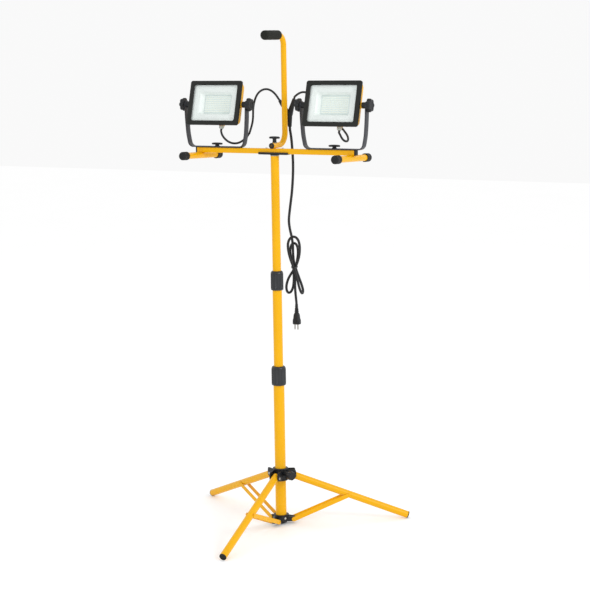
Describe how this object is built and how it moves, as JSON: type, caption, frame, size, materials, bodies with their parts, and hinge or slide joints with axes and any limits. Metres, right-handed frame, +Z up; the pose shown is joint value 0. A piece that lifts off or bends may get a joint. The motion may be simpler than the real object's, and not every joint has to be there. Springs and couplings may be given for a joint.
{
  "type": "tripod work light",
  "caption": "Flood light heads on tilting yokes, on a crossbar with a carrying handle and floor bars, over a telescoping mast and a folding tripod.",
  "frame": {"origin": "on the floor, at the middle of the tripod's footprint", "axes": "+Z up along the mast; +X along the crossbar, to the right as the lights are seen from in front; the lights face -Y"},
  "size_m": [0.8319, 0.7594, 1.7985],
  "materials": {
    "yellow_steel": "golden yellow powder coat, satin",
    "yellow_casting": "golden yellow powder coat on a die casting",
    "black_plastic": "moulded, fine grain",
    "bezel_coating": "black powder coat on a die casting",
    "grey_coated_steel": "dark grey powder coat",
    "black_rubber": "moulded rubber",
    "foam_grip": "closed-cell foam",
    "cable_jacket": "smooth rubber jacket",
    "front_glass": "tempered, clear",
    "white_reflector": "white, satin",
    "led_board": "white solder mask with rows of LEDs",
    "clear_nylon": "natural translucent nylon",
    "zinc_steel": "zinc plated"
  },
  "bodies": {
    "base": {"lower_tube": "yellow_steel", "brace_hub": "black_plastic"},
    "right_brace": {"right_brace": "yellow_steel"},
    "right_leg": {"right_leg": "yellow_steel", "right_foot": "black_rubber"},
    "leg_hub": {"leg_hub": "black_plastic"},
    "hub_knob": {"hub_knob": "black_plastic"},
    "back_brace": {"back_brace": "yellow_steel"},
    "back_leg": {"back_leg": "yellow_steel", "back_foot": "black_rubber"},
    "front_brace": {"front_brace": "yellow_steel"},
    "front_leg": {"front_leg": "yellow_steel", "front_foot": "black_rubber"},
    "lower_collar": {"lower_collar": "black_plastic"},
    "middle_mast": {"middle_tube": "yellow_steel"},
    "upper_collar": {"upper_collar": "black_plastic"},
    "upper_mast": {"upper_tube": "yellow_steel", "mast_plug": "zinc_steel"},
    "swivel": {"swivel_washer": "clear_nylon"},
    "light_frame": {"saddle_plate": "black_plastic", "crossbar": "yellow_steel", "left_crossbar_cap": "black_rubber", "right_crossbar_cap": "black_rubber", "left_front_bar_cap": "black_rubber", "left_rear_bar_cap": "black_rubber", "right_front_bar_cap": "black_rubber", "right_rear_bar_cap": "black_rubber", "handle": "yellow_steel", "handle_grip": "foam_grip", "cord_splitter": "black_plastic", "power_cord": "cable_jacket", "cord_hank": "cable_jacket", "plug": "black_plastic", "left_cable_frame": "cable_jacket", "right_cable_frame": "cable_jacket"},
    "clamp_knob": {"clamp_knob": "black_plastic"},
    "left_yoke": {"left_yoke": "grey_coated_steel", "left_cable_head": "cable_jacket"},
    "left_yoke_knob": {"left_yoke_knob": "black_plastic"},
    "left_head": {"left_housing": "yellow_casting", "left_bezel": "bezel_coating", "left_lens": "front_glass", "left_reflector": "white_reflector", "left_led_board": "led_board", "left_driver": "black_plastic", "left_gland": "clear_nylon"},
    "left_head_left_knob": {"left_head_left_knob": "black_plastic"},
    "left_head_right_knob": {"left_head_right_knob": "black_plastic"},
    "right_yoke": {"right_yoke": "grey_coated_steel", "right_cable_head": "cable_jacket"},
    "right_yoke_knob": {"right_yoke_knob": "black_plastic"},
    "right_head": {"right_housing": "yellow_casting", "right_bezel": "bezel_coating", "right_lens": "front_glass", "right_reflector": "white_reflector", "right_led_board": "led_board", "right_driver": "black_plastic", "right_gland": "clear_nylon"},
    "right_head_left_knob": {"right_head_left_knob": "black_plastic"},
    "right_head_right_knob": {"right_head_right_knob": "black_plastic"}
  },
  "joints": [
    {"name": "tripod_fold", "type": "hinge", "parent": "base", "child": "right_brace", "pos_m": [0.05751, 0.12296, 0.0174], "axis": [0.5736, -0.8192, 0], "range_deg": [0, 62]},
    {"name": "right_leg_on_brace", "type": "hinge", "parent": "right_brace", "child": "right_leg", "pos_m": [0.22674, 0.24146, 0.10045], "axis": [0.5736, -0.8192, 0], "range_deg": [-124, 0]},
    {"name": "leg_hub_on_right_leg", "type": "hinge", "parent": "right_leg", "child": "leg_hub", "pos_m": [0.05751, 0.12296, 0.1835], "axis": [0.5736, -0.8192, 0], "range_deg": [0, 62]},
    {"name": "back_brace_fold", "type": "hinge", "parent": "base", "child": "back_brace", "pos_m": [-0.02186, 0.11602, 0.0174], "axis": [0.4226, 0.9063, 0], "range_deg": [0, 62]},
    {"name": "back_leg_on_brace", "type": "hinge", "parent": "back_brace", "child": "back_leg", "pos_m": [-0.2091, 0.20333, 0.10045], "axis": [0.4226, 0.9063, 0], "range_deg": [-124, 0]},
    {"name": "front_brace_fold", "type": "hinge", "parent": "base", "child": "front_brace", "pos_m": [0.02384, 0.05075, 0.0174], "axis": [-0.9962, -0.0872, 0], "range_deg": [0, 62]},
    {"name": "front_leg_on_brace", "type": "hinge", "parent": "front_brace", "child": "front_leg", "pos_m": [0.04184, -0.15505, 0.10045], "axis": [-0.9962, -0.0872, 0], "range_deg": [-124, 0]},
    {"name": "hub_knob_turn", "type": "hinge", "parent": "leg_hub", "child": "hub_knob", "pos_m": [0.07421, 0.07122, 0.194], "axis": [0.9063, -0.4226, 0], "continuous": true},
    {"name": "lower_collar_twist", "type": "hinge", "parent": "base", "child": "lower_collar", "pos_m": [0.01983, 0.09658, 0.557], "axis": [0, 0, 1], "range_deg": [0, 90]},
    {"name": "middle_tube_slide", "type": "slide", "parent": "base", "child": "middle_mast", "axis": [0, 0, 1], "range_m": [-0.26, 0.08]},
    {"name": "upper_collar_twist", "type": "hinge", "parent": "middle_mast", "child": "upper_collar", "pos_m": [0.01983, 0.09658, 0.907], "axis": [0, 0, 1], "range_deg": [0, 90]},
    {"name": "upper_tube_slide", "type": "slide", "parent": "middle_mast", "child": "upper_mast", "axis": [0, 0, 1], "range_m": [-0.37, 0.05]},
    {"name": "crossbar_swivel", "type": "hinge", "parent": "upper_mast", "child": "swivel", "pos_m": [0.01983, 0.09658, 1.3597], "axis": [0, 0, 1], "range_deg": [-180, 180]},
    {"name": "crossbar_lift_off", "type": "slide", "parent": "swivel", "child": "light_frame", "axis": [0, 0, 1], "range_m": [0, 0.07]},
    {"name": "clamp_knob_turn", "type": "hinge", "parent": "light_frame", "child": "clamp_knob", "pos_m": [0.01983, 0.09658, 1.416], "axis": [0, 0, 1], "continuous": true},
    {"name": "left_yoke_swivel", "type": "hinge", "parent": "light_frame", "child": "left_yoke", "pos_m": [-0.22217, 0.09658, 1.3848], "axis": [0, 0, 1], "range_deg": [-90, 90], "deforming": ["left_cable_frame"]},
    {"name": "left_yoke_knob_turn", "type": "hinge", "parent": "left_yoke", "child": "left_yoke_knob", "pos_m": [-0.22217, 0.09658, 1.395], "axis": [0, 0, 1], "continuous": true},
    {"name": "left_head_tilt", "type": "hinge", "parent": "left_yoke", "child": "left_head", "pos_m": [-0.22217, 0.09658, 1.537], "axis": [1, 0, 0], "range_deg": [-78, 102], "deforming": ["left_cable_head"]},
    {"name": "left_head_left_knob_turn", "type": "hinge", "parent": "left_head", "child": "left_head_left_knob", "pos_m": [-0.36217, 0.09658, 1.537], "axis": [1, 0, 0], "continuous": true},
    {"name": "left_head_right_knob_turn", "type": "hinge", "parent": "left_head", "child": "left_head_right_knob", "pos_m": [-0.08217, 0.09658, 1.537], "axis": [1, 0, 0], "continuous": true},
    {"name": "right_yoke_swivel", "type": "hinge", "parent": "light_frame", "child": "right_yoke", "pos_m": [0.26183, 0.09658, 1.3848], "axis": [0, 0, 1], "range_deg": [-90, 90], "deforming": ["right_cable_frame"]},
    {"name": "right_yoke_knob_turn", "type": "hinge", "parent": "right_yoke", "child": "right_yoke_knob", "pos_m": [0.26183, 0.09658, 1.395], "axis": [0, 0, 1], "continuous": true},
    {"name": "right_head_tilt", "type": "hinge", "parent": "right_yoke", "child": "right_head", "pos_m": [0.26183, 0.09658, 1.537], "axis": [1, 0, 0], "range_deg": [-78, 102], "deforming": ["right_cable_head"]},
    {"name": "right_head_left_knob_turn", "type": "hinge", "parent": "right_head", "child": "right_head_left_knob", "pos_m": [0.12183, 0.09658, 1.537], "axis": [1, 0, 0], "continuous": true},
    {"name": "right_head_right_knob_turn", "type": "hinge", "parent": "right_head", "child": "right_head_right_knob", "pos_m": [0.40183, 0.09658, 1.537], "axis": [1, 0, 0], "continuous": true}
  ],
  "couplings": [
    {"joint": "right_leg_on_brace", "follows": "tripod_fold", "ratio": -2},
    {"joint": "leg_hub_on_right_leg", "follows": "tripod_fold", "ratio": 1},
    {"joint": "back_brace_fold", "follows": "tripod_fold", "ratio": 1},
    {"joint": "back_leg_on_brace", "follows": "tripod_fold", "ratio": -2},
    {"joint": "front_brace_fold", "follows": "tripod_fold", "ratio": 1},
    {"joint": "front_leg_on_brace", "follows": "tripod_fold", "ratio": -2}
  ]
}
